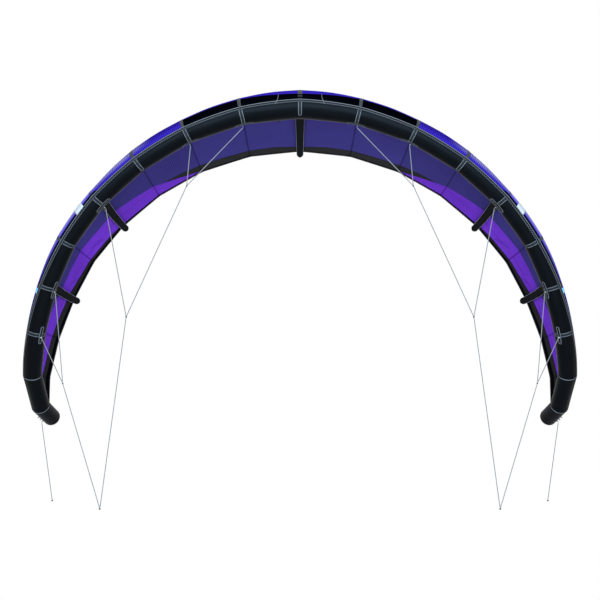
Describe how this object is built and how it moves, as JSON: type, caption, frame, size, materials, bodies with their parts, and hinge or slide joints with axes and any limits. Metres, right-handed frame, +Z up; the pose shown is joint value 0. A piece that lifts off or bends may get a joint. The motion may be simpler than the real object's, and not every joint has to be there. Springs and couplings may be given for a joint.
{
  "type": "kitesurfing kite",
  "caption": "Inflatable kitesurfing kite with an arched leading edge tube, tapered struts, a cambered canopy and a bridle.",
  "frame": {"origin": "centre of the leading edge tube on the plane of symmetry", "axes": "+X along the span towards the kite's right tip, +Y aft along the struts, +Z up, in the flying shape"},
  "size_m": [4.2228, 1.5881, 3.0437],
  "materials": {
    "black_dacron": "woven polyester with a resin finish",
    "clear_bladder": "clear urethane film",
    "indigo_ripstop": "ripstop cloth",
    "violet_ripstop": "ripstop cloth",
    "hose_rubber": "matt",
    "clamp_plastic": "moulded",
    "valve_plastic": "moulded",
    "bridle_line": "braided"
  },
  "bodies": {
    "kite": {"back_pigtail_left": "bridle_line", "back_pigtail_right": "bridle_line", "bridle_line_left_1": "bridle_line", "bridle_line_left_2": "bridle_line", "bridle_line_left_3": "bridle_line", "bridle_line_left_4": "bridle_line", "bridle_line_left_5": "bridle_line", "bridle_line_left_6": "bridle_line", "bridle_line_right_1": "bridle_line", "bridle_line_right_2": "bridle_line", "bridle_line_right_3": "bridle_line", "bridle_line_right_4": "bridle_line", "bridle_line_right_5": "bridle_line", "bridle_line_right_6": "bridle_line", "canopy_centre_left": "indigo_ripstop", "canopy_centre_right": "indigo_ripstop", "canopy_middle_left": "indigo_ripstop", "canopy_middle_right": "indigo_ripstop", "canopy_tip_left": "violet_ripstop", "canopy_tip_right": "violet_ripstop", "hose_clamp_centre": "clamp_plastic", "hose_clamp_left_inner": "clamp_plastic", "hose_clamp_left_outer": "clamp_plastic", "hose_clamp_right_inner": "clamp_plastic", "hose_clamp_right_outer": "clamp_plastic", "leading_edge_bladder": "clear_bladder", "leading_edge_panel_left_1": "black_dacron", "leading_edge_panel_left_2": "black_dacron", "leading_edge_panel_left_3": "black_dacron", "leading_edge_panel_left_4": "black_dacron", "leading_edge_panel_left_5": "black_dacron", "leading_edge_panel_right_1": "black_dacron", "leading_edge_panel_right_2": "black_dacron", "leading_edge_panel_right_3": "black_dacron", "leading_edge_panel_right_4": "black_dacron", "leading_edge_panel_right_5": "black_dacron", "pump_hose_centre": "hose_rubber", "pump_hose_left_inner": "hose_rubber", "pump_hose_left_outer": "hose_rubber", "pump_hose_right_inner": "hose_rubber", "pump_hose_right_outer": "hose_rubber", "strut_bladder_centre": "clear_bladder", "strut_bladder_left_inner": "clear_bladder", "strut_bladder_left_outer": "clear_bladder", "strut_bladder_right_inner": "clear_bladder", "strut_bladder_right_outer": "clear_bladder", "strut_centre": "black_dacron", "strut_left_inner": "black_dacron", "strut_left_outer": "black_dacron", "strut_right_inner": "black_dacron", "strut_right_outer": "black_dacron", "valve_base": "valve_plastic"},
    "bayonet_insert": {"valve_insert": "valve_plastic"},
    "cap": {"valve_cap": "valve_plastic"},
    "lever_centre": {"clamp_lever_centre": "clamp_plastic"},
    "lever_left_inner": {"clamp_lever_left_inner": "clamp_plastic"},
    "lever_left_outer": {"clamp_lever_left_outer": "clamp_plastic"},
    "lever_right_inner": {"clamp_lever_right_inner": "clamp_plastic"},
    "lever_right_outer": {"clamp_lever_right_outer": "clamp_plastic"}
  },
  "joints": [
    {"name": "bayonet_turn", "type": "hinge", "parent": "kite", "child": "bayonet_insert", "pos_m": [-0.15219, 0.06731, -0.07397], "axis": [0.0775, 0.7196, -0.6901], "range_deg": [0, 90]},
    {"name": "cap_swing", "type": "hinge", "parent": "bayonet_insert", "child": "cap", "pos_m": [-0.15033, 0.05934, -0.09845], "axis": [-0.9961, 0.0264, -0.0843], "range_deg": [0, 150]},
    {"name": "lever_swing_centre", "type": "hinge", "parent": "kite", "child": "lever_centre", "pos_m": [0.09273, 0.17721, 0.03487], "axis": [0, 0.8309, -0.5564], "range_deg": [0, 80]},
    {"name": "lever_swing_left_inner", "type": "hinge", "parent": "kite", "child": "lever_left_inner", "pos_m": [-1.51255, 0.33892, -0.67457], "axis": [-0.5728, -0.668, 0.4751], "range_deg": [0, 80]},
    {"name": "lever_swing_left_outer", "type": "hinge", "parent": "kite", "child": "lever_left_outer", "pos_m": [-1.8751, 0.51884, -1.29674], "axis": [-0.6092, -0.7795, 0.1456], "range_deg": [0, 80]},
    {"name": "lever_swing_right_inner", "type": "hinge", "parent": "kite", "child": "lever_right_inner", "pos_m": [1.51255, 0.33892, -0.67457], "axis": [-0.5728, 0.668, -0.4751], "range_deg": [0, 80]},
    {"name": "lever_swing_right_outer", "type": "hinge", "parent": "kite", "child": "lever_right_outer", "pos_m": [1.8751, 0.51884, -1.29674], "axis": [-0.6092, 0.7795, -0.1456], "range_deg": [0, 80]}
  ]
}
